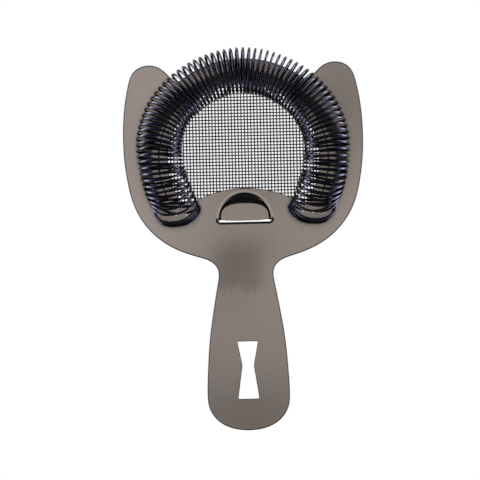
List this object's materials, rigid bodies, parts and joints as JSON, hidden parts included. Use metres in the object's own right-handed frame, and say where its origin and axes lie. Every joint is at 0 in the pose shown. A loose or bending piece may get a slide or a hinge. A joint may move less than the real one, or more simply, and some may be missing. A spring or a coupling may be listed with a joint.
{
  "type": "hawthorne strainer",
  "caption": "Flat bar strainer with a horseshoe coil spring round a woven mesh opening, two ears, a pressed finger tab and a long handle with a hanging slot.",
  "frame": {"origin": "centre of the round opening, on the face of the head that carries the spring", "axes": "+Z out of the spring side, -Y along the handle, +X to the right when the spring faces the viewer and the handle points down"},
  "size_m": [0.0942, 0.1502, 0.0247],
  "materials": {
    "gunmetal_plate": "satin gunmetal with a fine lengthwise brush",
    "mesh_wire": "dark drawn wire, woven",
    "spring_wire": "black-plated polished spring wire"
  },
  "bodies": {
    "head": {"strainer_plate": "gunmetal_plate", "mesh_ring": "gunmetal_plate", "mesh_warp_wires": "mesh_wire", "mesh_weft_wires": "mesh_wire"},
    "spring": {"coil_spring": "spring_wire"}
  },
  "joints": [
    {"name": "spring_travel", "type": "slide", "parent": "head", "child": "spring", "axis": [0, -1, 0], "range_m": [0, 0.006], "stiffness_N_per_m": 250, "deforming": ["coil_spring"]}
  ]
}
